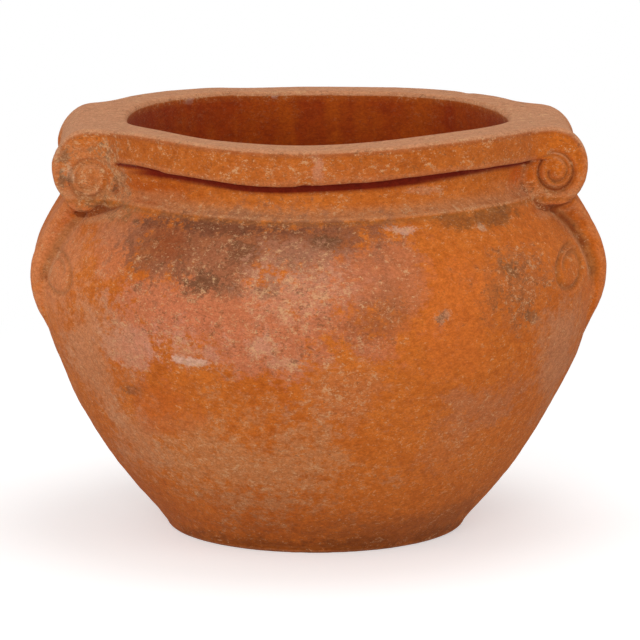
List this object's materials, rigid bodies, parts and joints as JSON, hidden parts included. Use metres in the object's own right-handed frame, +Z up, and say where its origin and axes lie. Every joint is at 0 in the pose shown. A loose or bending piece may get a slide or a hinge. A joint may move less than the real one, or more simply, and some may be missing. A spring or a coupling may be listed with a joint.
{
  "type": "terracotta planter",
  "caption": "Squat round terracotta planter with a thick flat rim, hollow neck, full belly, drainage hole and scroll lugs with spiral volutes on both sides.",
  "frame": {"origin": "on the ground at the middle of the foot", "axes": "+Z up along the pot's axis, +X towards the right-hand scroll lug, -Y towards the viewer"},
  "size_m": [0.425, 0.413, 0.306],
  "materials": {
    "body_clay": "unglazed, fired, weathered",
    "rim_clay": "unglazed, rubbed and dusty",
    "floor_clay": "unglazed, stained by damp soil",
    "scroll_clay": "unglazed, worn edges"
  },
  "bodies": {
    "root": {"floor_slab": "floor_clay", "bowl_wall": "body_clay", "belly_ring": "body_clay", "neck_collar": "body_clay", "rim_ring": "rim_clay", "left_scroll": "scroll_clay", "right_scroll": "scroll_clay", "upper_coil_left_front": "scroll_clay", "upper_coil_left_back": "scroll_clay", "upper_coil_right_front": "scroll_clay", "upper_coil_right_back": "scroll_clay", "lower_coil_left_front": "scroll_clay", "lower_coil_left_back": "scroll_clay", "lower_coil_right_front": "scroll_clay", "lower_coil_right_back": "scroll_clay"}
  },
  "joints": []
}
